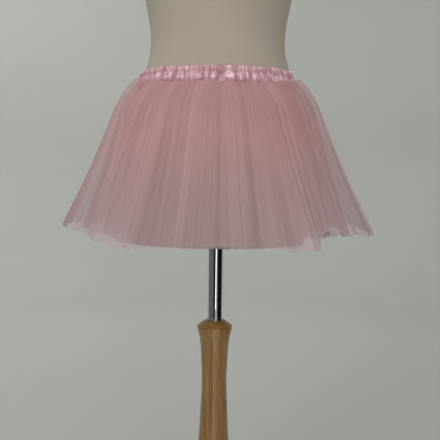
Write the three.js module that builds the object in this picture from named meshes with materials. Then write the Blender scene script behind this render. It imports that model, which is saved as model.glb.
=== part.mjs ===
// A short gathered tulle skirt on a limbless dress form with a turned wooden stand.
// Millimetres, +Z up, the front towards -Y. The origin is on the floor, under the pole.
// Angles go round the Z axis in degrees: 0 is the front, 90 is +X, 180 is the back.

import * as THREE from "three";

// ---- Driving dimensions ----

const TURN = 360;
const FIT_GAP = 0.3; // between pieces that are sewn, fitted or seated on each other

const FLOOR = 0;
const BASE_RADIUS = 190;
const BASE_THICKNESS = 24;
const BASE_ROUNDING = 7;

const POST_TOP = 519;
const POLE_RADIUS = 14.5;
const POST_SOCKET_DEPTH = 80;
const FORM_SOCKET_DEPTH = 60;
const ROUND_SEGMENTS = 40;

const FORM_RIM = 671; // lower edge of the dress form
const FORM_RIM_ROUNDING = 5;
const FORM_SEGMENTS = 48;
const NECK_TOP = 1485;
const NECK_CAP_HEIGHT = 14;

// The dress form's sections from the rim up: an ellipse of this half-width, with its own
// half-depth towards the front and towards the back.
const FORM_SECTIONS = [
  { height: FORM_RIM, width: 162, front: 105, back: 107 },
  { height: FORM_RIM + FORM_RIM_ROUNDING, width: 167, front: 110, back: 112 },
  { height: 700, width: 169.5, front: 111, back: 115 },
  { height: 760, width: 172, front: 112, back: 120 },
  { height: 830, width: 172, front: 111, back: 121 },
  { height: 880, width: 166, front: 108, back: 115 },
  { height: 930, width: 154, front: 104, back: 104 },
  { height: 965, width: 143, front: 101, back: 97 },
  { height: 988, width: 136, front: 99, back: 93 },
  { height: 1010, width: 129.5, front: 97, back: 90 },
  { height: 1038, width: 125, front: 95, back: 88 },
  { height: 1065, width: 126, front: 96, back: 89 },
  { height: 1100, width: 131.5, front: 99, back: 92 },
  { height: 1134, width: 138, front: 104, back: 95 },
  { height: 1180, width: 147, front: 116, back: 98 },
  { height: 1225, width: 155, front: 127, back: 100 },
  { height: 1265, width: 160, front: 124, back: 101 },
  { height: 1305, width: 165, front: 108, back: 99 },
  { height: 1345, width: 168, front: 92, back: 92 },
  { height: 1372, width: 160, front: 80, back: 84 },
  { height: 1392, width: 138, front: 70, back: 76 },
  { height: 1408, width: 105, front: 62, back: 68 },
  { height: 1422, width: 76, front: 56, back: 60 },
  { height: 1440, width: 58, front: 52, back: 54 },
  { height: 1465, width: 53, front: 50, back: 52 },
  { height: NECK_TOP, width: 52, front: 50, back: 51 },
];

// The post's outline from its foot up: a turned baluster with a chamfered collar on top.
const POST_OUTLINE = [
  { height: BASE_THICKNESS + FIT_GAP, radius: 36 },
  { height: 38, radius: 37 },
  { height: 48, radius: 33 },
  { height: 58, radius: 26 },
  { height: 72, radius: 24 },
  { height: 100, radius: 27.5 },
  { height: 140, radius: 33.5 },
  { height: 180, radius: 36 },
  { height: 220, radius: 35 },
  { height: 260, radius: 31.5 },
  { height: 291, radius: 28.8 },
  { height: 338, radius: 26.6 },
  { height: 372, radius: 24.9 },
  { height: 407, radius: 24.4 },
  { height: 440, radius: 25.8 },
  { height: 467, radius: 27.2 },
  { height: 490, radius: 30.6 },
  { height: 503, radius: 33.6 },
  { height: 507, radius: 34 },
  { height: POST_TOP, radius: 17.5 },
];

// ---- The skirt ----

const BAND_BOTTOM = 954; // at the front and the back
const BAND_SIDE_RISE = 6; // the band sits this much higher over the hips
const BAND_HEIGHT = 29;
const BAND_SEGMENTS = 96;
const BAND_WRINKLE = 0.6; // the gathers' height on the satin
const BAND_SECTION = [
  // up is a share of the band's height, out is the distance from the form
  { up: 0, out: FIT_GAP, wrinkle: 0 },
  { up: 0, out: 4.8, wrinkle: 1 },
  { up: 0.25, out: 6.2, wrinkle: 1 },
  { up: 0.55, out: 4.4, wrinkle: 1 },
  { up: 0.85, out: 4.8, wrinkle: 1 },
  { up: 1, out: 2.2, wrinkle: 0 },
  { up: 1, out: FIT_GAP, wrinkle: 0 },
  { up: 0.5, out: FIT_GAP, wrinkle: 0 },
];

const WALL = 1.2; // thickness of each tulle layer's solid
const TULLE_AT_BAND = 6.8; // from the form to the outside of the tulle, under the band

// The skirt's fall from the band (0) to the hem (1), as how far it has sprung out from the band
// and how steeply it leans out there, as millimetres out for each millimetre down.
const SKIRT_SECTIONS = [
  { down: 0, out: 0, lean: 0.9 },
  { down: 0.05, out: 22, lean: 1.4 },
  { down: 0.12, out: 35, lean: 0.7 },
  { down: 0.3, out: 55, lean: 0.4 },
  { down: 0.62, out: 90, lean: 0.42 },
  { down: 1, out: 135, lean: 0.45 },
];

// The height of the hem above the floor, going round. It is a cut edge and hangs unevenly.
const HEM = [
  { at: -180, height: 700 },
  { at: -150, height: 696 },
  { at: -120, height: 702 },
  { at: -90, height: 704 },
  { at: -70, height: 706 },
  { at: -50, height: 701 },
  { at: -40, height: 696 },
  { at: -34, height: 689 },
  { at: -20, height: 690 },
  { at: 0, height: 693 },
  { at: 12, height: 691 },
  { at: 24, height: 683 },
  { at: 33, height: 683 },
  { at: 37, height: 709 },
  { at: 49, height: 704 },
  { at: 60, height: 700 },
  { at: 72, height: 694 },
  { at: 90, height: 698 },
  { at: 120, height: 703 },
  { at: 150, height: 697 },
  { at: 180, height: 700 },
];

// The largest folds, going round: where each one's crest or valley lies, how far it reaches
// to either side, and how far it stands out (or in) at the hem.
const LARGE_FOLDS = [
  { at: -168, reach: 7, out: -6 },
  { at: -155, reach: 7, out: 7 },
  { at: -141, reach: 7, out: -6 },
  { at: -128, reach: 7, out: 6 },
  { at: -115, reach: 7, out: -7 },
  { at: -101, reach: 7, out: 6 },
  { at: -87, reach: 6, out: -6 },
  { at: -72, reach: 9, out: -3 },
  { at: -56, reach: 7, out: -6 },
  { at: -39, reach: 6, out: 8 },
  { at: -31, reach: 5, out: -7 },
  { at: -21, reach: 5, out: 5 },
  { at: -14, reach: 4, out: -4 },
  { at: -6, reach: 5, out: 5 },
  { at: 2, reach: 4, out: -4 },
  { at: 8.5, reach: 5, out: 6 },
  { at: 15, reach: 4, out: -4 },
  { at: 21, reach: 5, out: 5 },
  { at: 30.5, reach: 6, out: 12 },
  { at: 38, reach: 5, out: -16 },
  { at: 48, reach: 6, out: 6 },
  { at: 57, reach: 5, out: -5 },
  { at: 75, reach: 9, out: 6 },
  { at: 92, reach: 7, out: -5 },
  { at: 104, reach: 7, out: 7 },
  { at: 118, reach: 7, out: -6 },
  { at: 131, reach: 7, out: 8 },
  { at: 143, reach: 6, out: -8 },
  { at: 155, reach: 6, out: 6 },
  { at: 168, reach: 7, out: -5 },
  { at: 180, reach: 7, out: 6 },
];

const EVEN_HEM = 697; // the height of a hem that hangs level

// The tulle layers: how far each one's outer face lies inside the skirt's outside at the band
// and at the hem, how much higher its hem hangs, how many gathers it has and how deep they are
// at the hem, and the share of the large folds and of the hem's unevenness that it follows.
const LAYERS = [
  {
    name: "skirt_tulle_outer", atBand: 0, atHem: 0, higher: 0,
    gathers: 36, depth: 3, drift: 1.2, follows: 1, segments: 144,
  },
  {
    name: "skirt_tulle_middle", atBand: 2.3, atHem: 38, higher: 1,
    gathers: 28, depth: 2, drift: 0.4, follows: 0.7, segments: 112,
  },
  {
    name: "skirt_tulle_inner", atBand: 4.6, atHem: 72, higher: -3,
    gathers: 24, depth: 1.2, drift: 2.3, follows: 0.3, segments: 96,
  },
];

const COLOURS = {
  jersey: { color: 0xd9cdbb, roughness: 0.9, metalness: 0 },
  chrome: { color: 0xd8d8d8, roughness: 0.12, metalness: 1 },
  wood: { color: 0xa97f4a, roughness: 0.35, metalness: 0 },
  satin: { color: 0xe0a3b0, roughness: 0.35, metalness: 0 },
  tulle: { color: 0xdc9aa6, roughness: 0.85, metalness: 0 },
};

// ---- Helpers ----

const radians = (degrees) => (degrees * Math.PI) / 180;
const mix = (a, b, share) => a + (b - a) * share;

// The value of one column where another column has a given value, on a line between two rows.
function lookUp(rows, key, value, column) {
  const last = rows.length - 1;
  let above = rows.findIndex((row) => row[key] >= value);
  if (above < 0) above = last;
  if (above === 0) return rows[0][column];
  const low = rows[above - 1];
  const high = rows[above];
  const share = Math.min(1, (value - low[key]) / (high[key] - low[key]));
  return mix(low[column], high[column], share);
}

// A point on the ellipse of these half-sizes, at an angle round from the front.
function onEllipse(angle, width, depth, height) {
  return [width * Math.sin(radians(angle)), -depth * Math.cos(radians(angle)), height];
}

// The angle of step number i of a full turn, from -180 to 180.
const angleOf = (i, count) => (TURN * i) / count - TURN / 2;

// A closed ring: the same loop of points, worked out afresh at each angle. A loop runs
// down the outside and up the inside of its wall.
function ringOfLoops(count, loopAt) {
  const loops = Array.from({ length: count }, (_, i) => loopAt(angleOf(i, count)));
  const size = loops[0].length;
  const faces = [];
  for (let i = 0; i < count; i += 1) {
    const here = i * size;
    const next = ((i + 1) % count) * size;
    for (let k = 0; k < size; k += 1) {
      const after = (k + 1) % size;
      faces.push(here + k, here + after, next + after);
      faces.push(here + k, next + after, next + k);
    }
  }
  return meshData(loops.flat(2), faces);
}

// A closed lofted body: rings of equal count, with a point at each end.
function loftWithPoles(rings, firstPole, lastPole) {
  const count = rings[0].length;
  const points = [firstPole, ...rings.flat(), lastPole];
  const faces = [];
  const indexOf = (ring, i) => 1 + ring * count + (i % count);
  for (let i = 0; i < count; i += 1) {
    faces.push(0, indexOf(0, i + 1), indexOf(0, i));
    for (let ring = 0; ring + 1 < rings.length; ring += 1) {
      faces.push(indexOf(ring, i), indexOf(ring, i + 1), indexOf(ring + 1, i + 1));
      faces.push(indexOf(ring, i), indexOf(ring + 1, i + 1), indexOf(ring + 1, i));
    }
    faces.push(points.length - 1, indexOf(rings.length - 1, i), indexOf(rings.length - 1, i + 1));
  }
  return meshData(points.flat(), faces);
}

function meshData(numbers, faces) {
  const geometry = new THREE.BufferGeometry();
  geometry.setAttribute("position", new THREE.Float32BufferAttribute(numbers, 3));
  geometry.setIndex(faces);
  geometry.computeVertexNormals();
  return geometry;
}

// A turned body from its outline, which starts and ends on the axis. The lathe turns round Y,
// so its geometry is stood up to turn round Z.
function turned(outline) {
  const points = outline.map(([radius, height]) => new THREE.Vector2(radius, height));
  return new THREE.LatheGeometry(points, ROUND_SEGMENTS).rotateX(Math.PI / 2);
}

function piece(name, geometry, finish) {
  const mesh = new THREE.Mesh(geometry, new THREE.MeshStandardMaterial(finish));
  mesh.name = name;
  return mesh;
}

// ---- The dress form and its stand ----

// The distance of the form's surface from its axis, as half-width and half-depth at an angle.
function formSection(angle, height) {
  const side = Math.cos(radians(angle)) >= 0 ? "front" : "back";
  return {
    width: lookUp(FORM_SECTIONS, "height", height, "width"),
    depth: lookUp(FORM_SECTIONS, "height", height, side),
  };
}

function formPoint(angle, height, out = 0) {
  const { width, depth } = formSection(angle, height);
  return onEllipse(angle, width + out, depth + out, height);
}

// The torso, with a round socket in its underside for the pole.
function formTorso() {
  const ringAt = (pointAt) =>
    Array.from({ length: FORM_SEGMENTS }, (_, i) => pointAt(angleOf(i, FORM_SEGMENTS)));
  const bore = POLE_RADIUS + FIT_GAP;
  const socketTop = FORM_RIM + FORM_SOCKET_DEPTH;
  const rings = [
    ringAt((angle) => onEllipse(angle, bore, bore, socketTop)),
    ringAt((angle) => onEllipse(angle, bore, bore, FORM_RIM)),
    ...FORM_SECTIONS.map((row) => ringAt((angle) => formPoint(angle, row.height))),
  ];
  return loftWithPoles(rings, [0, 0, socketTop], [0, 0, NECK_TOP]);
}

function neckCap() {
  const bottom = NECK_TOP + FIT_GAP;
  const top = bottom + NECK_CAP_HEIGHT;
  return turned([
    [0, bottom],
    [48, bottom],
    [50, bottom + 2],
    [50, top - 6],
    [46, top - 2],
    [38, top],
    [0, top],
  ]);
}

function pole() {
  const bottom = POST_TOP - POST_SOCKET_DEPTH + FIT_GAP;
  const top = FORM_RIM + FORM_SOCKET_DEPTH - FIT_GAP;
  return turned([
    [0, bottom],
    [POLE_RADIUS, bottom],
    [POLE_RADIUS, top],
    [0, top],
  ]);
}

function post() {
  const bore = POLE_RADIUS + FIT_GAP;
  const outside = POST_OUTLINE.map((row) => [row.radius, row.height]);
  return turned([
    [0, BASE_THICKNESS + FIT_GAP],
    ...outside,
    [bore, POST_TOP],
    [bore, POST_TOP - POST_SOCKET_DEPTH],
    [0, POST_TOP - POST_SOCKET_DEPTH],
  ]);
}

function base() {
  const roundingSteps = 4;
  const edge = Array.from({ length: roundingSteps + 1 }, (_, i) => {
    const turn = radians((90 * i) / roundingSteps);
    return [
      BASE_RADIUS - BASE_ROUNDING + BASE_ROUNDING * Math.cos(turn),
      BASE_THICKNESS - BASE_ROUNDING + BASE_ROUNDING * Math.sin(turn),
    ];
  });
  return turned([
    [0, FLOOR],
    [BASE_RADIUS - 2, FLOOR],
    [BASE_RADIUS, FLOOR + 2],
    ...edge,
    [0, BASE_THICKNESS],
  ]);
}

// ---- The skirt ----

// The height of the band's lower edge: higher over the hips than at the front.
const bandBottom = (angle) => BAND_BOTTOM + BAND_SIDE_RISE * Math.sin(radians(angle)) ** 2;

// The satin casing: its loop follows BAND_SECTION round, and every other step is a gather.
function waistband() {
  return ringOfLoops(BAND_SEGMENTS, (angle) => {
    const step = Math.round((angle + TURN / 2) * (BAND_SEGMENTS / TURN));
    const gather = step % 2 === 0 ? BAND_WRINKLE : -BAND_WRINKLE;
    return BAND_SECTION.map(({ up, out, wrinkle }) => {
      const height = bandBottom(angle) + up * BAND_HEIGHT;
      return formPoint(angle, height, out + wrinkle * gather);
    }).reverse();
  });
}

// How far the large folds stand out at an angle, at the hem: a raised cosine for each one.
function largeFolds(angle) {
  return LARGE_FOLDS.reduce((sum, { at, reach, out }) => {
    const away = Math.abs(((angle - at + 1.5 * TURN) % TURN) - TURN / 2) / reach;
    return away < 1 ? sum + (out * (1 + Math.cos(Math.PI * away))) / 2 : sum;
  }, 0);
}

// The layer's own gathers: a cosine round the skirt whose phase drifts, so that they are uneven.
function gathers(layer, angle) {
  const turn = radians(angle);
  const drift = 0.9 * Math.sin(2 * turn + layer.drift) + 0.6 * Math.sin(5 * turn);
  return layer.depth * Math.cos(layer.gathers * turn + drift);
}

// One point of a layer at an angle, inside the layer's outer face by a distance. The way out is
// measured from the form's own section at the band, so the skirt springs out evenly all round,
// and the layers part evenly on the way down: the inner ones hang closer to the form.
function layerPoint(layer, angle, section, inside) {
  const { down, out } = section;
  const top = bandBottom(angle) - FIT_GAP;
  const unevenHem = lookUp(HEM, "at", angle, "height");
  const hem = mix(EVEN_HEM, unevenHem, layer.follows) + layer.higher;
  const folds = down * (layer.follows * largeFolds(angle) + gathers(layer, angle));
  const inset = mix(layer.atBand, layer.atHem, down) + inside;
  const waist = formSection(angle, top);
  const reach = TULLE_AT_BAND + out - inset + folds;
  return onEllipse(angle, waist.width + reach, waist.depth + reach, mix(top, hem, down));
}

function tulleLayer(layer) {
  return ringOfLoops(layer.segments, (angle) => {
    const outside = SKIRT_SECTIONS.map((row) => layerPoint(layer, angle, row, 0));
    const inside = SKIRT_SECTIONS.map((row) =>
      layerPoint(layer, angle, row, WALL * Math.hypot(1, row.lean)),
    );
    return [...outside, ...inside.reverse()];
  });
}

// ---- The whole object ----

const group = new THREE.Group();

const dressForm = new THREE.Group();
dressForm.add(piece("form_torso", formTorso(), COLOURS.jersey));
dressForm.add(piece("form_neck_cap", neckCap(), COLOURS.wood));
group.add(dressForm);

const stand = new THREE.Group();
stand.add(piece("stand_pole", pole(), COLOURS.chrome));
stand.add(piece("stand_post", post(), COLOURS.wood));
stand.add(piece("stand_base", base(), COLOURS.wood));
group.add(stand);

const skirt = new THREE.Group();
skirt.add(piece("skirt_waistband", waistband(), COLOURS.satin));
for (const layer of LAYERS) {
  skirt.add(piece(layer.name, tulleLayer(layer), COLOURS.tulle));
}
group.add(skirt);

export default group;
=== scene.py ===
# %% [markdown]
# # A gathered tulle skirt on a dress form
#
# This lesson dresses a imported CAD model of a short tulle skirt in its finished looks. The skirt
# has a satin casing gathered on elastic, and three layers of soft net. It is worn by a jersey
# covered dress form on a chrome pole, a turned wooden post and a round base.
#
# Everything new is a surface worked out with numpy: a function of two parameters on a grid,
# written as whole arrays. The CAD frame gives the places and sizes, in metres.

# %% Load the frame
import math

import bmesh
import bpy
import numpy as np
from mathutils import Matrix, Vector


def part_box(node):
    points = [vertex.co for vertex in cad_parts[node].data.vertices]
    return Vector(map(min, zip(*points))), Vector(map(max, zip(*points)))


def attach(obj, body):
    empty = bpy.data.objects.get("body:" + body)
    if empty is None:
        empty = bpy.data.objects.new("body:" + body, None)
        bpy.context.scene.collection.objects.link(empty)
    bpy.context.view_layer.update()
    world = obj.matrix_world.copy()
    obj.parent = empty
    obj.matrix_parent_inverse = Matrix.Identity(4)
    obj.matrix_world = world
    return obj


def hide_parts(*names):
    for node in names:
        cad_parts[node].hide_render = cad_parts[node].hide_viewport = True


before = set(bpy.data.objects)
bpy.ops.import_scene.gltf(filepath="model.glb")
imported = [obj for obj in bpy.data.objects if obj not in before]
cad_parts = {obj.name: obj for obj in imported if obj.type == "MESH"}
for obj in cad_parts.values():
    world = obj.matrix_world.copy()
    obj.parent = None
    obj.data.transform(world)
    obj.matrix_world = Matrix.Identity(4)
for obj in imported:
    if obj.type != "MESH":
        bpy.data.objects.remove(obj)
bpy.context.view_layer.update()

# %% [markdown]
# ## Surfaces on a grid
#
# A pleated net, a gathered band and a turned post are all the same kind of thing: rows of
# points. Blender could make them with curves, lathes and modifiers, but a grid of points keeps
# full control of every fold. One helper turns such a grid into a mesh and gives it a UV map in
# metres of cloth, so that a weave has its real scale.

# %% Put a grid of points into a mesh
TURN = 2 * math.pi
MM = 0.001
TINY = 0.001 * MM  # the radius of a ring of points that stands for one point


def round_angles(columns):
    """One closed turn's angles from the front, one for each column."""
    return np.linspace(0, TURN, columns, endpoint=False)


def grid_mesh(name, points, cloth=(1.0, 1.0), around=True):
    """A mesh from points[row, column]. Rows run down and columns run anticlockwise seen from
    above, so the faces point outwards. The UV map goes from 0 to the cloth's length across the
    columns, and from 0 to its height up the rows."""
    rows, cols = points.shape[:2]
    steps = cols if around else cols - 1
    row, col = np.meshgrid(np.arange(rows - 1), np.arange(steps), indexing="ij")
    after = (col + 1) % cols
    corners = np.stack(
        [row * cols + col, (row + 1) * cols + col, (row + 1) * cols + after, row * cols + after],
        axis=-1,
    ).reshape(-1, 4)
    u = np.stack([col, col, col + 1, col + 1], axis=-1).reshape(-1) / steps * cloth[0]
    v = np.stack([row, row + 1, row + 1, row], axis=-1).reshape(-1) / (rows - 1)
    mesh = bpy.data.meshes.new(name)
    mesh.vertices.add(rows * cols)
    mesh.vertices.foreach_set("co", points.reshape(-1).astype(np.float32))
    mesh.loops.add(corners.size)
    mesh.loops.foreach_set("vertex_index", corners.reshape(-1).astype(np.int32))
    mesh.polygons.add(len(corners))
    mesh.polygons.foreach_set("loop_start", np.arange(0, corners.size, 4, dtype=np.int32))
    mesh.update(calc_edges=True)
    uv = mesh.uv_layers.new(name="cloth")
    flat = np.stack([u, (1 - v) * cloth[1]], axis=-1)
    uv.data.foreach_set("uv", flat.reshape(-1).astype(np.float32))
    mesh.polygons.foreach_set("use_smooth", np.ones(len(corners), dtype=bool))
    mesh.validate()
    piece = bpy.data.objects.new(name, mesh)
    bpy.context.scene.collection.objects.link(piece)
    return piece


print("one turn:", round(TURN, 3), "radians")

# %% [markdown]
# Some shapes are given as short tables: a place, and a value there. A smooth curve through a
# table's rows gives the value anywhere between them. Blender's own curves could carry the same
# numbers, but a table is easier to read and to change.

# %% Read a table smoothly
def through(x, knots, values):
    """A smooth curve through the values at the knots: on each span a cubic whose slope at a
    knot is the slope between that knot's neighbours."""
    knots, values = np.asarray(knots, float), np.asarray(values, float)
    slope = np.gradient(values, knots)
    i = np.clip(np.searchsorted(knots, x, side="right") - 1, 0, len(knots) - 2)
    h = knots[i + 1] - knots[i]
    t = np.clip((x - knots[i]) / h, 0, 1)
    return (
        values[i] * (1 + 2 * t) * (1 - t) ** 2
        + slope[i] * h * t * (1 - t) ** 2
        + values[i + 1] * t * t * (3 - 2 * t)
        + slope[i + 1] * h * t * t * (t - 1)
    )


def smooth_table(x, table, unit=1.0):
    """The smooth curve through a table of (place, value in the unit), read at x."""
    return through(x, table[:, 0], table[:, 1] * unit)


print("halfway between 0 and 1:", through(0.5, [0, 1], [0, 1]))


# %% Measure and mend a piece
def area_of(piece):
    """The area of a piece's surface in square metres."""
    return sum(p.area for p in piece.data.polygons)


def litres(piece):
    """What a closed piece holds, positive where its faces look outwards."""
    work = bmesh.new()
    work.from_mesh(piece.data)
    volume = work.calc_volume(signed=True) * 1000
    work.free()
    return volume


def close_ends(piece):
    """Merges the ring of points at each end of a closed piece, which is far too small to see,
    into one point."""
    work = bmesh.new()
    work.from_mesh(piece.data)
    bmesh.ops.remove_doubles(work, verts=work.verts, dist=0.01 * MM)
    work.to_mesh(piece.data)
    work.free()


def point_values(piece, name, values):
    """Stores one number for each point of a piece, for its material to read."""
    layer = piece.data.attributes.new(name, "FLOAT", "POINT")
    layer.data.foreach_set("value", values.reshape(-1).astype(np.float32))


# %% [markdown]
# ## Shaders, built the same way each time
#
# Each finish is a Principled shader with a few texture nodes in front of it. These helpers
# keep a recipe down to the lines that matter: which texture, at what size, driving what.

# %% Nodes
def new_material(name):
    """A material with an empty Principled shader: returns the material, its node tree and the
    shader."""
    material = bpy.data.materials.new(name)
    material.use_nodes = True
    tree = material.node_tree
    return material, tree, tree.nodes["Principled BSDF"]


def node(tree, kind, settings=None, **inputs):
    """Adds a node, sets its properties, and sets or links its inputs. An input's name has _ for
    a space, and one that starts with n and a digit is counted instead."""
    made = tree.nodes.new(kind)
    for key, value in (settings or {}).items():
        setattr(made, key, value)
    for key, value in inputs.items():
        slot = int(key[1:]) if key[0] == "n" and key[1:].isdigit() else key.replace("_", " ")
        if isinstance(value, bpy.types.NodeSocket):
            tree.links.new(value, made.inputs[slot])
        else:
            made.inputs[slot].default_value = value
    return made


def maths(tree, operation, *values, clamp=False):
    """The result of one Math node."""
    inputs = {f"n{i}": value for i, value in enumerate(values)}
    settings = {"operation": operation, "use_clamp": clamp}
    return node(tree, "ShaderNodeMath", settings, **inputs).outputs[0]


def attribute(tree, name):
    """A number that is stored on the mesh's points."""
    return node(tree, "ShaderNodeAttribute", {"attribute_name": name}).outputs["Fac"]


# %% Colours, coordinates and bumps
def ramp(tree, factor, stops):
    """A colour ramp: stops is a list of (place, colour)."""
    made = node(tree, "ShaderNodeValToRGB", Fac=factor)
    band = made.color_ramp
    band.elements[0].position, band.elements[0].color = stops[0][0], (*stops[0][1], 1)
    band.elements[1].position, band.elements[1].color = stops[-1][0], (*stops[-1][1], 1)
    for place, colour in stops[1:-1]:
        band.elements.new(place).color = (*colour, 1)
    return made.outputs["Color"]


def coordinates(tree, kind="Object", scale=(1, 1, 1)):
    """Object or UV coordinates, scaled."""
    source = node(tree, "ShaderNodeTexCoord").outputs[kind]
    return node(tree, "ShaderNodeMapping", Vector=source, Scale=scale).outputs["Vector"]


def bump(tree, shader, height, strength, distance):
    """Links a height to the shader's normal through a Bump node."""
    made = node(tree, "ShaderNodeBump", Height=height, Strength=strength, Distance=distance)
    tree.links.new(made.outputs["Normal"], shader.inputs["Normal"])


print("materials so far:", len(bpy.data.materials))

# %% [markdown]
# ## The dress form
#
# A display form is a foam torso under a tight cover of cream jersey. Sculpting it would work,
# but it is only a stack of rounded sections, so the CAD torso's own rings give the half-width
# and half-depths, and a smooth curve through them gives as many rows as the render needs.

# %% Read the torso's sections
SOCKET_LIMIT = 20 * MM  # rings narrower than this belong to the pole's socket
SAME_HEIGHT = 0.0001


def node_points(name):
    """Every point of a CAD node, as an array."""
    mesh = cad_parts[name].data
    points = np.empty(len(mesh.vertices) * 3, np.float32)
    mesh.vertices.foreach_get("co", points)
    return points.reshape(-1, 3).astype(float)


def by_height(points):
    """Each distinct height of a node's points, with the points that lie there."""
    heights = np.unique(np.round(points[:, 2], 4))
    return [(h, points[np.abs(points[:, 2] - h) < SAME_HEIGHT]) for h in heights]


def rings_of(points, narrowest):
    """A node's sections: each height, with the reach to +X, -Y and +Y there."""
    rows = [[h, p[:, 0].max(), -p[:, 1].min(), p[:, 1].max()] for h, p in by_height(points)]
    table = np.array(rows)
    return table[table[:, 1] > narrowest]


form_rings = rings_of(node_points("form_torso"), SOCKET_LIMIT)
print("torso sections:", len(form_rings), "widest", round(form_rings[:, 1].max() * 2, 3))


# %% The torso as a function of angle and height
def form_reach(angle, height, out=0.0):
    """The torso's surface at an angle round from the front and a height: x is the half-width
    times the sine, and y is minus the half-depth of that side times the cosine."""
    width = through(height, form_rings[:, 0], form_rings[:, 1]) + out
    front = through(height, form_rings[:, 0], form_rings[:, 2]) + out
    back = through(height, form_rings[:, 0], form_rings[:, 3]) + out
    depth = np.where(np.cos(angle) >= 0, front, back)
    return width * np.sin(angle), -depth * np.cos(angle)


print("half-width at 1 m:", form_reach(TURN / 4, 1.0)[0].round(3))

# %% Make the torso
FORM_COLUMNS = 192
FORM_ROWS = 220
pole_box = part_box("stand_pole")
POLE_RADIUS = (pole_box[1][0] - pole_box[0][0]) / 2
SOCKET_GAP = 0.3 * MM
BORE = POLE_RADIUS + SOCKET_GAP
form_rim, neck_top = form_rings[0, 0], form_rings[-1, 0]


def circle(radius, height, angle):
    """A level ring of points."""
    return np.stack([radius * np.sin(angle), -radius * np.cos(angle), 0 * angle + height], axis=-1)


def torso_points():
    """Rows from the neck's middle down the outside, across the underside and up the socket."""
    angle = round_angles(FORM_COLUMNS)
    share = np.linspace(0, 1, FORM_ROWS)
    height = (neck_top - (neck_top - form_rim) * share)[:, None]
    x, y = form_reach(angle[None, :], height)
    outside = np.stack([x, y, np.broadcast_to(height, x.shape)], axis=-1)
    socket_top = pole_box[1][2] + SOCKET_GAP
    middle = circle(TINY, neck_top, angle)
    socket = [(BORE, form_rim), (BORE, socket_top), (TINY, socket_top)]
    inside = np.stack([circle(radius, level, angle) for radius, level in socket])
    return np.concatenate([middle[None], outside, inside])


torso = grid_mesh("form_cover", torso_points())
close_ends(torso)
print("torso faces:", len(torso.data.polygons), "litres:", round(litres(torso), 3))

# %% [markdown]
# Stretched jersey is nearly matt. Its stitches show close up, and the foam under it gives very
# faint wide unevenness. A picture of knit could be laid on, but two noises do: a fine one for
# the bump, and a wide one for a slight change of colour.

# %% Jersey
JERSEY_RIB = 1.1 * MM


def jersey():
    """Cream knit: a wide noise for the colour, and one of the stitches' size for the bump."""
    material, tree, shader = new_material("cream_jersey")
    wide = node(tree, "ShaderNodeTexNoise", Vector=coordinates(tree), Scale=6.0, Detail=3.0)
    colour = ramp(tree, wide.outputs["Fac"], [(0.3, (0.435, 0.378, 0.302)), (0.7, (0.48, 0.42, 0.34))])
    tree.links.new(colour, shader.inputs["Base Color"])
    knit = coordinates(tree, scale=(1 / JERSEY_RIB, 1 / JERSEY_RIB, 0.6 / JERSEY_RIB))
    stitch = node(tree, "ShaderNodeTexNoise", Vector=knit, Scale=1.0, Detail=2.0)
    bump(tree, shader, stitch.outputs["Fac"], 0.25, 0.3 * MM)
    shader.inputs["Roughness"].default_value = 0.85
    shader.inputs["Sheen Weight"].default_value = 0.15
    shader.inputs["Sheen Roughness"].default_value = 0.5
    return material


torso.data.materials.append(jersey())
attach(torso, "root")
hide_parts("form_torso")

# %% [markdown]
# ## Pole, post, base and neck cap
#
# These were turned on a lathe, so each is a profile carried round the axis. Blender's Screw
# modifier does the same, but here each profile is read from its CAD node, and a curve smooths it
# between the corners that stay sharp.

# %% Turn a profile round the axis
ROUND_COLUMNS = 128


def turned(name, profile):
    """A body of revolution: profile is rows of (radius, height) from the top down."""
    angle = round_angles(ROUND_COLUMNS)
    rows = [circle(max(radius, TINY), height, angle) for radius, height in profile]
    piece = grid_mesh(name, np.stack(rows))
    close_ends(piece)
    print(name, "faces:", len(piece.data.polygons), "litres:", round(litres(piece), 3))
    return piece


def rounded(radius, height, corner, top, steps=6):
    """Profile rows round an outer corner: a quarter circle at the top or the bottom edge."""
    turn = np.linspace(0, TURN / 4, steps)
    out, up = corner * np.cos(turn), corner * np.sin(turn)
    rows = np.stack([radius - corner + out, height + (up - corner if top else corner - up)], axis=-1)
    return rows[::-1] if top else rows


def disc_profile(box, top_edge, bottom_edge, steps=6):
    """A plain cylinder as high and wide as a box, with its two edges rounded."""
    radius, low, high = box[1][0], box[0][2], box[1][2]
    upper = rounded(radius, high, top_edge, True, steps)
    lower = rounded(radius, low, bottom_edge, False)
    return [(0, high), *upper, *lower, (0, low)]


pole = turned("chrome_pole", disc_profile(pole_box, 1 * MM, 1 * MM))

# %% The post, the base and the cap
MOUTH_DEPTH = 30 * MM
LIP_EDGE = 1 * MM

post_rings = by_height(node_points("stand_post"))
post_table = np.array([[h, np.hypot(p[:, 0], p[:, 1]).max()] for h, p in post_rings])
post_table = post_table[post_table[:, 1] > POLE_RADIUS + 1 * MM]
print("post outline:", np.round(post_table / MM, 1).tolist())


def post_profile():
    """The post's outline from its collar down. The shaft is one smooth curve, and the collar's
    chamfer is straight, with its top edge set in by a millimetre."""
    top, lip = post_table[-1]
    shaft = post_table[:-1]
    heights = np.linspace(shaft[-1, 0], shaft[0, 0], 150)
    radii = through(heights, shaft[:, 0], shaft[:, 1])
    collar = shaft[-1, 1]
    share = np.linspace(0, 1, 8)[1:-1, None]
    chamfer = (1 - share) * np.array([[lip, top]]) + share * np.array([[collar, shaft[-1, 0]]])
    mouth = [(0, top - MOUTH_DEPTH), (BORE, top - MOUTH_DEPTH), (BORE, top)]
    return [*mouth, (lip - LIP_EDGE, top), *chamfer, *zip(radii, heights), (0, shaft[0, 0])]


post = turned("turned_post", post_profile())
base = turned("round_base", disc_profile(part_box("stand_base"), 7 * MM, 2 * MM, 10))
cap = turned("neck_cap", disc_profile(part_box("form_neck_cap"), 6 * MM, 2 * MM, 10))

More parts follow.
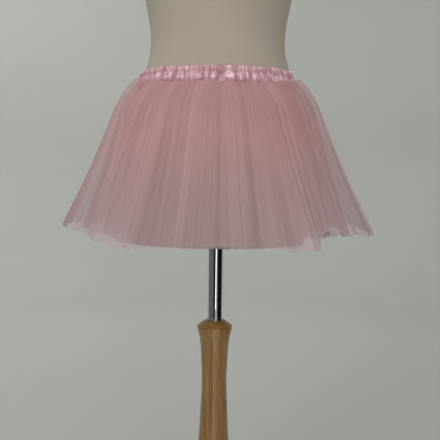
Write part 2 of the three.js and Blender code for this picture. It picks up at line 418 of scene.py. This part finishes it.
# %% [markdown]
# Chrome is a mirror: its looks come from what stands round it, so it only needs a few fine
# scratches in its roughness.


# %% Chrome
def chrome():
    """Polished metal whose roughness wanders slightly."""
    material, tree, shader = new_material("chrome")
    fine = node(tree, "ShaderNodeTexNoise", Vector=coordinates(tree, scale=(1, 1, 0.1)), Scale=300.0)
    rough = node(tree, "ShaderNodeMapRange", Value=fine.outputs["Fac"], To_Min=0.03, To_Max=0.09)
    tree.links.new(rough.outputs["Result"], shader.inputs["Roughness"])
    shader.inputs["Base Color"].default_value = (0.72, 0.73, 0.73, 1)
    shader.inputs["Metallic"].default_value = 1.0
    return material


pole.data.materials.append(chrome())
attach(pole, "root")
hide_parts("stand_pole")
print("chrome on", pole.name)

# %% [markdown]
# The post is a light varnished timber. An image of planks would show its seams on a round
# piece, so the grain is noise in space. It runs up the post, and across the flat base and cap:
# the noise is stretched along Z for the one and along X for the others.


# %% Varnished wood
# (place in the noise, colour)
GRAIN = [
    (0.25, (0.215, 0.100, 0.019)), (0.5, (0.340, 0.178, 0.040)), (0.75, (0.440, 0.248, 0.062)),
]


def varnished(name, along):
    """Light timber: stretched noise for the grain, a finer one for the pores, and a clear coat.
    along is the scale on each axis, small on the axis that the grain follows."""
    material, tree, shader = new_material(name)
    space = coordinates(tree, scale=along)
    grain = node(tree, "ShaderNodeTexNoise", Vector=space, Scale=1.0, Detail=6.0, Distortion=0.6)
    colour = ramp(tree, grain.outputs["Fac"], GRAIN)
    fine_space = coordinates(tree, scale=tuple(5 * a for a in along))
    pores = node(tree, "ShaderNodeTexNoise", Vector=fine_space, Scale=1.0, Detail=3.0)
    dark = node(tree, "ShaderNodeMapRange", Value=pores.outputs["Fac"],
                From_Min=0.35, From_Max=0.6, To_Min=0.8)
    mix = node(tree, "ShaderNodeMix", {"data_type": "RGBA", "blend_type": "MULTIPLY"},
               n0=1.0, n6=colour, n7=dark.outputs["Result"])
    tree.links.new(mix.outputs[2], shader.inputs["Base Color"])
    bump(tree, shader, pores.outputs["Fac"], 0.08, 0.2 * MM)
    shader.inputs["Roughness"].default_value = 0.42
    shader.inputs["Coat Weight"].default_value = 0.5
    shader.inputs["Coat Roughness"].default_value = 0.1
    return material


upright = varnished("varnished_wood_upright", (110, 110, 7))
flat_wood = varnished("varnished_wood_flat", (6, 90, 90))
wooden = [(post, "stand_post", upright), (base, "stand_base", flat_wood)]
wooden.append((cap, "form_neck_cap", flat_wood))
for piece, cad_node, wood in wooden:
    piece.data.materials.append(wood)
    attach(piece, "root")
    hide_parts(cad_node)
print("varnished:", [row[0].name for row in wooden])

# %% [markdown]
# ## Uneven waves
#
# Gathers are never regular. A wave looks gathered when its spacing, its depth and its lean all
# wander. Each of those is a smooth sum of sines round the skirt, so it closes on itself at the
# back seam, and a seeded generator picks the sines, so that every run gives the same skirt.


# %% A smooth uneven value round the waist
def wander(seed, lowest, highest, terms=7):
    """Returns f(angle): a sum of sines with whole numbers of turns between lowest and highest
    and random phases, scaled to about -1 to 1."""
    pick = np.random.default_rng(seed)
    turns = pick.integers(lowest, highest + 1, terms)
    phases = pick.uniform(0, TURN, terms)
    sizes = pick.uniform(0.5, 1.0, terms)
    scale = 1.6 / np.sqrt((sizes**2).sum() * 2)

    def value(angle):
        waves = [s * np.sin(n * angle + p) for n, p, s in zip(turns, phases, sizes)]
        return scale * np.sum(waves, axis=0)

    return value


print("a wander, sampled:", wander(1, 2, 5)(np.array([0.0, 1.0, 2.0])).round(2))

# %% [markdown]
# ## The satin waistband
#
# The casing is one strip of satin, folded lengthways over elastic, so its cloth goes up the
# outside, over the top and down the inside. The elastic draws it in to small upright gathers:
# narrow ones in the upper half, and fuller puffs in the lower half that end in a scalloped
# edge. A cloth simulation could make them, but waves with sharp valleys and round crests give
# the same look, and can be placed.

# %% The waistband's sizes and its gathers
band_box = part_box("skirt_waistband")
BAND_HEIGHT = 29 * MM
BAND_SIDE_RISE = 6 * MM
BAND_COLUMNS = 2600
BAND_ROWS_OUTSIDE = 30
BAND_ROWS_INSIDE = 5
band_low = band_box[0][2]

# (share of the band's height, distance out from the form in mm)
BAND_SWELL = np.array([
    (0.0, 3.6), (0.1, 5.4), (0.32, 5.6), (0.55, 4.0), (0.8, 4.2), (0.93, 3.4), (1.0, 1.8),
])
# how many of each kind go round the waist, and how far each swings out in mm
FINE_GATHERS, FINE_SWING = 104, 1.9
FULL_GATHERS, FULL_SWING = 70, 2.7
CREASES, CREASE_SWING = 190, 0.7
WAIST_RADIUS = 0.13  # about: turns a slide along the waist into an angle


def band_bottom(angle):
    """The band's lower edge: higher over the hips than at the front and the back."""
    return band_low + BAND_SIDE_RISE * np.sin(angle) ** 2


def gathers(angle, up, count, seed, slant=3.6, sharp=0.7):
    """Upright gathers: round crests and sharp valleys, as 1 minus twice the size of a sine to a
    power below 1. The phase wanders round the waist, and the gathers slant by turns to the left
    and to the right, so that they meet in V and Y shapes."""
    spread = wander(seed, 3, 27)(angle)
    lean = wander(seed + 1, 17, 60)(angle)
    phase = count * angle + 3.4 * spread + slant * lean * (up - 0.5)
    return 1 - 2 * np.abs(np.sin(phase / 2)) ** sharp


print("band:", round(BAND_HEIGHT / MM), "mm high, lower edge at", round(band_low, 3))


# %% Waistband surface
def band_outside(angle):
    """The casing's outside: the swell, and on it fine gathers above that give way to full puffs
    below, each swing made uneven round the waist and faded at both edges."""
    up = np.linspace(1, 0, BAND_ROWS_OUTSIDE)[:, None]
    swell = smooth_table(up, BAND_SWELL, MM)
    lower = 1 / (1 + np.exp((up - 0.52) * 16))
    uneven = 0.85 + 0.5 * wander(5, 9, 60)(angle)
    fine = gathers(angle, up, FINE_GATHERS, 11)
    full = gathers(angle, up, FULL_GATHERS, 23, slant=2.8)
    crease = gathers(angle, up, CREASES, 31, slant=6.0)
    swell_at = np.sin(4.2 * up + 2.6 * wander(47, 24, 75)(angle))
    wave = (1 - lower) * FINE_SWING * fine + lower * FULL_SWING * full + CREASE_SWING * crease
    wave = wave * (1 + 0.45 * swell_at) + 0.7 * swell_at
    ends = np.clip(up * 9, 0.6, 1) * np.clip((1 - up) * 8, 0.35, 1)
    out = swell + wave * uneven * ends * MM
    out = np.maximum(out, 0.6 * MM)
    near_top = np.clip(up * 5 - 4, 0, 1)
    frill = 0.9 * fine * near_top + 0.5 * crease * near_top
    scallop = 2.6 * full * np.clip(1 - up * 4, 0, 1)
    height = band_bottom(angle) + up * BAND_HEIGHT + (frill - scallop) * 0.6 * MM
    height = height + 0.9 * MM * wander(41, 9, 40)(angle)
    slide = 1.1 * MM * wander(43, 30, 90)(angle) * np.sin(up * math.pi)
    x, y = form_reach(angle + slide / WAIST_RADIUS, height, out)
    return np.stack([x, y, height], axis=-1)


def band_inside(angle):
    """The casing's inside: plain, half a millimetre off the form."""
    up = np.linspace(0, 0.985, BAND_ROWS_INSIDE)[:, None]
    height = band_bottom(angle) + up * BAND_HEIGHT
    x, y = form_reach(angle, height, 0.5 * MM)
    return np.stack([x, y, height], axis=-1)


def band_points():
    """Up the inside, over the top and down the outside, so that the strip is one sheet."""
    angle = round_angles(BAND_COLUMNS)[None, :]
    return np.concatenate([band_inside(angle), band_outside(angle)])


BAND_FLAT = (0.062, 1.1)  # the casing's strip: its width folded double, and its length
waistband = grid_mesh("satin_waistband", band_points(), cloth=(BAND_FLAT[1], BAND_FLAT[0]))
print("waistband area:", round(area_of(waistband), 4))

# %% [markdown]
# Satin is shiny, pale where it catches the light and deeper pink in its folds. The folds are
# real geometry, so the shader only needs a coat with small highlights, a patchy colour and the
# faint bump of its threads, which lie mostly one way.


# %% Satin
def satin():
    """Shiny woven pink: a low roughness under a clear coat, and a faint thread bump."""
    material, tree, shader = new_material("pink_satin")
    threads = coordinates(tree, "UV", scale=(1 / (0.35 * MM), 1 / (1.4 * MM), 1))
    weave = node(tree, "ShaderNodeTexNoise", Vector=threads, Scale=1.0, Detail=1.0)
    patch = node(tree, "ShaderNodeTexNoise", Vector=coordinates(tree), Scale=55.0, Detail=2.0)
    colour = ramp(tree, patch.outputs["Fac"], [(0.3, (0.54, 0.265, 0.315)), (0.7, (0.68, 0.38, 0.43))])
    tree.links.new(colour, shader.inputs["Base Color"])
    bump(tree, shader, weave.outputs["Fac"], 0.08, 0.1 * MM)
    shader.inputs["Roughness"].default_value = 0.34
    shader.inputs["Specular IOR Level"].default_value = 1.0
    shader.inputs["Coat Weight"].default_value = 1.0
    shader.inputs["Coat Roughness"].default_value = 0.14
    return material


waistband.data.materials.append(satin())
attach(waistband, "root")
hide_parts("skirt_waistband")
print("satin on", waistband.name, "cut", BAND_FLAT)

# %% [markdown]
# ## The tulle layers
#
# Each layer is a strip of net, one to two metres long, drawn up to the waist. Under the band
# its folds are small and packed, and they open towards the hem. Blender's cloth simulation
# could gather it, but the result can't be placed. So the strip's path round the skirt is a
# meander: it swings out and in, and also doubles back along the skirt, so that one line of
# sight meets more net in some places than in others. That makes the streaks of deeper and
# paler pink in real tulle.
#
# The skirt's large folds and its uneven hem are listed in tables. Their values follow the CAD
# solids', with a few values moved by some millimetres where the finished net hangs better.

# %% Large folds and the hem
# (angle round from the front in degrees, reach to each side in degrees, out at the hem in mm)
LARGE_FOLDS = [
    (-168, 7, -6), (-155, 7, 7), (-141, 7, -6), (-128, 7, 6), (-115, 7, -7), (-101, 7, 6),
    (-87, 6, -6), (-72, 9, -3), (-56, 7, -6), (-39, 6, 8), (-31, 5, -7), (-21, 5, 5),
    (-14, 4, -4), (-6, 5, 5), (2, 4, -4), (8.5, 5, 6), (15, 4, -4), (21, 5, 5),
    (30.5, 6, 10), (38, 6, -11), (48, 6, 6), (57, 5, -5), (75, 9, 6), (92, 7, -5),
    (104, 7, 7), (118, 7, -6), (131, 7, 8), (143, 6, -8), (155, 6, 6), (168, 7, -5),
    (180, 7, 6),
]
# (angle round from the front in degrees, height above the floor in mm)
HEM = np.array([
    (-180, 700), (-150, 696), (-120, 702), (-90, 704), (-70, 706), (-50, 703), (-41, 699),
    (-34, 685), (-20, 684), (0, 690), (12, 689), (24, 685), (33, 684), (38, 709), (49, 704),
    (60, 700), (72, 694), (90, 698), (120, 703), (150, 697), (180, 700),
])
EVEN_HEM = 697 * MM
print("large folds:", len(LARGE_FOLDS), "hem from", HEM[:, 1].min(), "to", HEM[:, 1].max(), "mm")

# %% How the skirt springs out, and how it puffs up over the hips
# (share of the fall, how far out the skirt has sprung from the band in mm)
SPRING = np.array([
    (0, 0), (0.012, 2), (0.03, 7), (0.06, 15.5), (0.12, 30), (0.18, 40), (0.3, 54), (0.62, 90),
    (1.0, 135),
])
TULLE_AT_BAND = 6.8 * MM
# (share of the fall, share of the lift that is left there): the stiff net puffs up over the
# band's lower edge before it falls
PUFF = np.array([
    (0, 0), (0.008, 0.5), (0.025, 1), (0.05, 1), (0.12, 0.7), (0.25, 0.3), (0.45, 0), (1, 0),
])
# (angle round from the front in degrees, how far the net puffs up there in mm)
LIFT = np.array([
    (-180, 5), (-140, 9), (-90, 20), (-65, 18), (-50, 13), (-42, 8), (-30, 2), (0, 0), (30, 2),
    (41, 7), (50, 12), (62, 17), (75, 20), (90, 22), (140, 10), (180, 5),
])
print("springs out", SPRING[-1, 1], "mm, puffs up to", LIFT[:, 1].max(), "mm")


# %% Read the tables round the skirt
def wrapped(degrees):
    """An angle in degrees, from -180 to 180."""
    return (degrees + 180) % 360 - 180


def round_table(angle, table, unit=1.0):
    """The straight lines through a table of (degrees, value in the unit), read at an angle."""
    return np.interp(wrapped(np.degrees(angle)), table[:, 0], table[:, 1] * unit)


def large_folds(angle):
    """The large folds' standing out at the hem: a raised cosine for each one."""
    degrees = np.degrees(angle)
    total = np.zeros_like(angle)
    for at, reach, out in LARGE_FOLDS:
        away = np.clip(np.abs(wrapped(degrees - at)) / reach, 0, 1)
        total += out * MM * (1 + np.cos(math.pi * away)) / 2
    return total


print("hem at the front:", round_table(0.0, HEM))

# %% [markdown]
# A layer is described by one row of a table: its strip's length, how many mm higher than the
# hem's table it ends, how many folds it falls into, how much it follows the large folds and
# the puffs, and how far it lies inside the skirt's outline, as (share of the fall, mm). The
# meander's swing out goes with `cos(phase)`. Its doubling back goes with `sin(2 * phase)`, and
# a lean to one side with `sin(phase)`, both along the skirt.

# %% The layers' table
STRIP_HEIGHT = 0.295
FOLD_SWING = 2.6  # how far a fold of usual strength swings out at the hem, in mm
LAYERS = [
    dict(name="tulle_outer", node="skirt_tulle_outer", strip=1.8, higher=0, folds=52,
         follows=1.0, lifted=1.0, seed=101, inset=[(0, 2.4), (1, 0.6)]),
    dict(name="tulle_middle", node="skirt_tulle_middle", strip=1.6, higher=-3, folds=46,
         follows=0.7, lifted=0.6, seed=202,
         inset=[(0, 3.8), (0.12, 8.5), (0.3, 15), (0.62, 25.5), (1, 38.6)]),
    dict(name="tulle_inner", node="skirt_tulle_inner", strip=1.3, higher=-8, folds=40,
         follows=0.3, lifted=0.3, seed=303,
         inset=[(0, 5.2), (0.12, 17), (0.3, 28), (0.62, 48), (1, 72.6)]),
]
TULLE_COLUMNS = 2000
TULLE_ROWS = 44


def fall_shares():
    """Each row's share of the fall from the band to the hem: rows lie closer near the band."""
    return (np.linspace(0, 1, TULLE_ROWS) ** 1.4)[:, None]


print("net in all:", round(sum(layer["strip"] for layer in LAYERS) * STRIP_HEIGHT, 3), "m2")


# %% The meander of one strip
QUIET_AT, QUIET_REACH = 36, 8  # the front's right panel hangs flatter here, in degrees


def fold_strength(seed, along):
    """Each place's own depth of fold: uneven, deeper at the sides, and flatter on the panel."""
    strength = 0.62 + 0.38 * wander(seed + 2, 7, 37)(along) + 0.4 * np.sin(along) ** 8
    away = (wrapped(np.degrees(along)) - QUIET_AT) / QUIET_REACH
    return strength * (1 - 0.6 * np.exp(-(away**2)))


def meander(layer, along, down):
    """The strip's path: the angle where each point ends up, bunched in some places and doubling
    back in each fold, and its swing out in metres. Both grow as the skirt opens."""
    seed, folds = layer["seed"], layer["folds"]
    drift = wander(seed, 2, 13)(along) + 0.35 * down * wander(seed + 1, 6, 22)(along)
    phase = folds * along + 2.6 * drift
    strength = fold_strength(seed, along)
    lean = wander(seed + 3, 5, 21)(along)
    doubling = 0.035 + 0.03 * wander(seed + 7, 4, 17)(along)
    back = TURN / folds * (doubling * np.sin(2 * phase) + 0.05 * lean * np.sin(phase + 0.6))
    bunch = 0.013 * wander(seed + 6, 9, 26)(along)
    angle = along + bunch + back * strength * (0.25 + 0.75 * down)
    fine_phase = 3 * folds * along + 4 * wander(seed + 4, 9, 44)(along)
    fine = 0.2 * MM * np.cos(fine_phase) * (0.35 + down) * np.exp(-1.6 * down)
    grow = 0.16 + 0.84 * down**0.75
    swing = FOLD_SWING * MM * grow * strength * np.cos(phase) + fine
    return angle, swing * np.clip(down * 9, 0.08, 1)


# %% One layer's surface
def layer_height(layer, along, down, angle):
    """Down in a straight line from under the band to the hem, with the puff added. The hem
    follows its table as far as the layer does, and its cut edge is slightly ragged."""
    hem = layer["follows"] * round_table(angle, HEM, MM) + (1 - layer["follows"]) * EVEN_HEM
    hem = hem + layer["higher"] * MM + 1.3 * MM * wander(layer["seed"] + 5, 20, 90)(along)
    top = band_bottom(angle) + 1.5 * MM
    puff = round_table(angle, LIFT, MM) * smooth_table(down, PUFF)
    return top + (hem - top) * down + layer["lifted"] * puff


def tulle_points(layer):
    """The net's points, from the band to the hem: the form's reach at the band, plus the
    spring, less the layer's inset, plus the large folds and the meander's swing."""
    along = round_angles(TULLE_COLUMNS)[None, :]
    down = fall_shares()
    angle, swing = meander(layer, along, down)
    height = layer_height(layer, along, down, angle)
    inset = np.interp(down, *np.transpose(layer["inset"])) * MM
    spring = smooth_table(down, SPRING, MM)
    folds = down * layer["follows"] * large_folds(angle)
    reach = TULLE_AT_BAND + spring - inset + folds + swing
    x, y = form_reach(angle, band_bottom(angle), reach)
    return np.stack([x, y, height], axis=-1)


front_top, front_hem = tulle_points(LAYERS[0])[[0, -1], 0].round(3)
print("outer net at the front, from", front_top, "to", front_hem)

# %% [markdown]
# The gathers that are too fine to model still make the net look denser. Modelling them would
# take millions of faces, so they are counted instead: each point stores how many times the
# cloth is packed there. That is the strip's length over the modelled folds' length, raised by a
# table.


# %% How densely the net is packed
def packing(points, strip):
    """How many times the cloth is packed along the skirt at each point: the strip's own length
    for one step over the length of the modelled step."""
    step = np.linalg.norm(np.roll(points, -1, axis=1) - points, axis=-1)
    step = (step + np.roll(step, 1, axis=1)) / 2
    half = 6  # columns to each side that are averaged
    kernel = np.ones(2 * half + 1) / (2 * half + 1)
    padded = np.concatenate([step[:, -half:], step, step[:, :half]], axis=1)
    smooth = np.stack([np.convolve(row, kernel, mode="valid") for row in padded])
    return (strip / TULLE_COLUMNS) / smooth


# %% The smallest gathers, and the cloth turned under
# (share of the fall, times the counted packing is raised there): set so that the net stays
# about as dense at the hem as under the band. It stands for more net than the strips hold,
# in smaller gathers or more layers
SMALL_GATHERS = np.array([(0, 2.0), (0.1, 1.85), (0.25, 1.9), (0.45, 2.1), (0.7, 2.55), (1, 3.6)])

# (angle round from the front in degrees, how much more the net is packed there at the hem): the
# edges of the front's large folds, where the cloth turns back under itself
TURNED_UNDER = np.array([
    (-180, 1), (-60, 1), (-46, 1.3), (-40, 1.7), (-30, 1.6), (-24, 1.0), (14, 1.0),
    (22, 1.5), (28, 1.9), (36, 2.1), (39, 1.2), (60, 1.2), (120, 1.3), (180, 1),
])


def net_packing(points, layer):
    """How much net a line of sight meets at each point: the modelled folds' packing, kept near
    its row's mean, times the tables; thinner where the net springs out over the hips."""
    down = fall_shares()
    angle = round_angles(TULLE_COLUMNS)[None, :]
    small = smooth_table(down, SMALL_GATHERS)
    under = round_table(angle, TURNED_UNDER)
    thin = 1 - 0.5 * np.sin(angle) ** 4 * np.clip(1 - down / 0.35, 0, 1)
    thin = thin * (1 - 0.15 * np.sin(angle) ** 12)
    packed = packing(points, layer["strip"])
    usual = packed.mean(axis=1, keepdims=True)
    packed = np.clip(packed, 0.8 * usual, 1.3 * usual)
    return packed * small * thin * (1 + (under - 1) * down)


print("packing raised at the hem:", SMALL_GATHERS[-1, 1], "times")

# %% [markdown]
# Tulle is a mesh of diamonds whose threads cover a small part of it, and a line of sight that
# meets packed cloth meets the threads more often. So a point's opacity is
# `1 - (1 - cover) ** packed`, where `packed` is stored on the mesh and varied by a noise that is
# stretched down the skirt, for the finest pleats. A plain half-clear pink would be simpler, but
# it would show no streaks. Towards the hem the pink is mixed with a darker grey, which is painted
# shade. Just under the band its colour is darkened, which is painted shade too, and a little
# lower it is slightly brightened, which is painted light.

# %% Net
NET_PITCH = 1.5 * MM


def net_threads(tree, cloth):
    """The diamond mesh: two sets of slanting lines, each a sine's size to the fourth power."""
    parts = node(tree, "ShaderNodeSeparateXYZ", Vector=cloth)
    across, upward = parts.outputs["X"], parts.outputs["Y"]
    lines = []
    for operation in ("ADD", "SUBTRACT"):
        slope = maths(tree, operation, across, upward)
        wave = maths(tree, "SINE", maths(tree, "MULTIPLY", slope, math.pi / NET_PITCH))
        lines.append(maths(tree, "POWER", maths(tree, "ABSOLUTE", wave), 4.0))
    return maths(tree, "MAXIMUM", *lines)


def net_pleats(tree, cloth):
    """The finest pleats: a noise that is narrow round the skirt and long down it."""
    space = node(tree, "ShaderNodeMapping", Vector=cloth, Scale=(150, 1.5, 1)).outputs["Vector"]
    noise = node(tree, "ShaderNodeTexNoise", Vector=space, Scale=1.0, Detail=3.0, Roughness=0.6)
    return node(tree, "ShaderNodeMapRange", Value=noise.outputs["Fac"], From_Min=0.3,
                From_Max=0.7, To_Min=0.76, To_Max=1.28).outputs["Result"]


def net_colour(tree):
    """Two cloudy pinks, mixed by `lower` with a darker grey that is painted shade towards the
    hem, then scaled by a stored factor: painted shade under the band, painted light lower down.
    """
    cloudy = node(tree, "ShaderNodeTexNoise", Vector=coordinates(tree), Scale=18.0, Detail=2.0)
    pinks = [(0.3, (0.77, 0.415, 0.445)), (0.7, (0.83, 0.465, 0.495))]
    # painted shade: a darker grey, mixed in more towards the hem
    pink_and_hem_shade = node(tree, "ShaderNodeMix", {"data_type": "RGBA"}, n0=attribute(tree, "lower"),
                  n6=ramp(tree, cloudy.outputs["Fac"], pinks), n7=(0.54, 0.385, 0.40, 1))
    # painted shade: the colour is scaled by a stored factor, darker just under the band
    return node(tree, "ShaderNodeVectorMath", {"operation": "SCALE"}, n0=pink_and_hem_shade.outputs[2],
                Scale=attribute(tree, "painted_shade")).outputs["Vector"]


def tulle():
    """Pink net: a diamond mesh in the cloth's own UV, more opaque where it is more packed."""
    material, tree, shader = new_material("pink_tulle")
    cloth = node(tree, "ShaderNodeTexCoord").outputs["UV"]
    packed = maths(tree, "MULTIPLY", attribute(tree, "packed"), net_pleats(tree, cloth))
    cover = node(tree, "ShaderNodeMapRange", Value=net_threads(tree, cloth), To_Min=0.08, To_Max=0.22)
    open_part = maths(tree, "SUBTRACT", 1.0, cover.outputs["Result"])
    alpha = maths(tree, "SUBTRACT", 1.0, maths(tree, "POWER", open_part, packed), clamp=True)
    tree.links.new(alpha, shader.inputs["Alpha"])
    tree.links.new(net_colour(tree), shader.inputs["Base Color"])
    shader.inputs["Roughness"].default_value = 0.75
    shader.inputs["Specular IOR Level"].default_value = 0.25
    return material


net = tulle()
print("net nodes:", len(net.node_tree.nodes))

# %% Sew the layers
# (share of the fall, share of the net's colour that is left): painted shade that darkens the
# net's colour just under the band, and painted light that brightens it slightly further down
PAINTED_SHADE = np.array([(0, 0.92), (0.12, 0.93), (0.35, 1.0), (0.6, 1.04), (0.85, 1.03), (1, 1.0)])
# (share of the fall, how far the pink has turned to the darker grey): painted shade towards the hem
HEM_SHADE_MIX = np.array([(0, 0), (0.3, 0.15), (0.6, 0.6), (1, 1)])

for layer in LAYERS:
    points = tulle_points(layer)
    strip = layer["strip"]
    sheet = grid_mesh(layer["name"], points, cloth=(strip, STRIP_HEIGHT))
    packed = net_packing(points, layer)
    point_values(sheet, "packed", packed)
    # painted shade: how far the net's colour turns to the darker grey, more towards the hem
    point_values(sheet, "lower", smooth_table(fall_shares(), HEM_SHADE_MIX) + 0 * packed)
    # painted shade and light: a factor on the net's colour, darker under the band, slightly brighter
    # lower
    point_values(sheet, "painted_shade", smooth_table(fall_shares(), PAINTED_SHADE) + 0 * packed)
    sheet.data.materials.append(net)
    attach(sheet, "root")
    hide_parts(layer["node"])
    print(layer["name"], "area", round(area_of(sheet), 3), "of", round(strip * STRIP_HEIGHT, 3),
          "packed from", packed[0].mean().round(2), "to", packed[-1].mean().round(2))

# %% [markdown]
# ## Floor, light and camera
#
# The object stands in a pale round cove, so that every view has a plain background and the
# chrome has something to mirror. A flat floor and one backdrop would be simpler, but they end
# where a camera at the side looks past them.

# %% Cove
COVE_FLOOR = 2.4
COVE_BEND = 1.2
COVE_TOP = 4.4


def cove_points():
    """A floor that turns up into a round wall: rows from the top of the wall to the middle."""
    angle = round_angles(96)
    turn = np.linspace(TURN / 4, 0, 14)
    bend_out = COVE_FLOOR + COVE_BEND * np.sin(turn)
    bend_up = COVE_BEND - COVE_BEND * np.cos(turn)
    radii = [COVE_FLOOR + COVE_BEND, *bend_out, 0.0001]
    heights = [COVE_TOP, *bend_up, 0.0]
    return np.stack([circle(r, h, angle) for r, h in zip(radii, heights)])


def paint(name, colour):
    """Matt paint with a faint unevenness."""
    material, tree, shader = new_material(name)
    faint = node(tree, "ShaderNodeTexNoise", Vector=coordinates(tree), Scale=1.5, Detail=2.0)
    light = tuple(c * 1.02 for c in colour)
    mixed = ramp(tree, faint.outputs["Fac"], [(0.3, colour), (0.7, light)])
    tree.links.new(mixed, shader.inputs["Base Color"])
    shader.inputs["Roughness"].default_value = 0.9
    shader.inputs["Specular IOR Level"].default_value = 0.1
    return material


cove = grid_mesh("cove", cove_points())
cove.data.materials.append(paint("pale_wall", (0.585, 0.597, 0.573)))
print("cove:", COVE_FLOOR + COVE_BEND, "m to the wall,", COVE_TOP, "m high")

# %% [markdown]
# Chrome shows the room. In a studio its reflection is shaped with cards: a black one on the
# right makes the pole's dark side, a grey one on the left its quiet side, and a narrow black
# one beside the gap a dark line. The gap lets a bright window show as one white line. The cards
# stand outside the picture, and only reflections see them.


# %% Cards
CARD_DISTANCE = 1.45
CARD_HEIGHT = 2.0


def card(name, first, last, colour):
    """A curved upright card round the object, between two angles from the front in degrees."""
    angle = np.radians(np.linspace(first, last, 24))
    levels = np.linspace(CARD_HEIGHT, -0.02, 4)
    rows = [circle(CARD_DISTANCE, level, angle) for level in levels]
    made = grid_mesh(name, np.stack(rows), around=False)
    made.data.materials.append(paint(f"{name}_paint", colour))
    made.visible_camera = False
    made.visible_diffuse = False
    made.visible_shadow = False
    made.visible_transmission = False
    print(name, "from", first, "to", last, "degrees")


card("black_card", 36, 118, (0.012, 0.012, 0.012))
card("black_line_card", -24, 3, (0.02, 0.02, 0.02))
card("grey_card", -112, -24, (0.30, 0.31, 0.31))

# %% [markdown]
# The light is a soft window at the front, a second one on the left, two washes on the wall and
# a weak lamp above. Three more lamps show only in reflections: a tall narrow one and a strip on
# the floor for the chrome's white line, and a wide one for the satin's small highlights. One
# window could do it all, but then the cloth's light and the shine couldn't be set apart.


# %% Soft boxes
def area_light(name, place, target, width, height, power):
    """A soft box at a place, facing a target, with its sides in metres and its power in watts."""
    data = bpy.data.lights.new(name, "AREA")
    data.shape, data.size, data.size_y = "RECTANGLE", width, height
    data.energy = power
    lamp = bpy.data.objects.new(name, data)
    bpy.context.scene.collection.objects.link(lamp)
    away = np.array(place, float) - np.array(target, float)
    pan = math.atan2(away[0], -away[1])
    tilt = math.atan2(away[2], math.hypot(away[0], away[1]))
    lamp.location = place
    lamp.rotation_euler = (math.pi / 2 - tilt, 0, pan)
    lamp.visible_camera = False
    return lamp


def shine_light(*settings):
    """A soft box that shows in reflections and lights nothing else."""
    lamp = area_light(*settings)
    lamp.visible_diffuse = False
    lamp.visible_transmission = False


# %% Lights
WAIST = (0, 0, 0.85)
window = area_light("window", (0.36, -1.72, 1.3), WAIST, 0.9, 1.5, 9.2)
window.visible_glossy = False
shine_light("window_shine", (0.36, -1.74, 0.85), WAIST, 0.3, 2.4, 5.0)
shine_light("sparkle", (-0.2, -1.4, 1.95), WAIST, 1.9, 0.35, 11)
shine_light("floor_strip", (-0.03, -1.15, 0.006), (-0.03, -1.15, 1.0), 0.04, 1.45, 1.2)
area_light("left_window", (-1.5, -1.6, 2.3), WAIST, 1.6, 1.4, 18)
area_light("wall_wash_left", (-1.2, 0.9, 2.7), (-1.5, 3.2, 1.5), 1.4, 0.9, 22)
area_light("wall_wash_right", (1.2, 0.9, 2.2), (1.4, 3.2, 1.0), 1.4, 0.9, 5.5)
area_light("overhead", (0.1, -0.7, 2.7), (0, -0.05, 0.9), 1.0, 1.0, 1.5)

world = bpy.data.worlds.new("room")
bpy.context.scene.world = world
world.use_nodes = True
background = world.node_tree.nodes["Background"]
background.inputs["Color"].default_value = (1.0, 0.99, 0.96, 1)
background.inputs["Strength"].default_value = 0.53
print("lamps:", len(bpy.data.lights))

# %% [markdown]
# The camera stands in front, lower than the band, and looks slightly down. It frames the
# skirt from the form's waist to the top of the post. The net needs many see-through steps, one
# for each layer of cloth that a ray meets.

# %% Camera
CAMERA_PLACE = (0.007, -0.94, 0.781)
CAMERA_PITCH = -4.1
CAMERA_ROLL = -0.7
CAMERA_LENS = 40.05

camera_data = bpy.data.cameras.new("camera")
camera_data.lens = CAMERA_LENS
camera_data.clip_start = 0.05
camera = bpy.data.objects.new("camera", camera_data)
camera.location = CAMERA_PLACE
camera.rotation_euler = (math.radians(90 + CAMERA_PITCH), math.radians(CAMERA_ROLL), 0)
bpy.context.scene.collection.objects.link(camera)
bpy.context.scene.camera = camera

scene = bpy.context.scene
scene.view_settings.view_transform = "Standard"
scene.cycles.transparent_max_bounces = 64
scene.cycles.max_bounces = 8
print("camera at", CAMERA_PLACE, "lens", CAMERA_LENS)
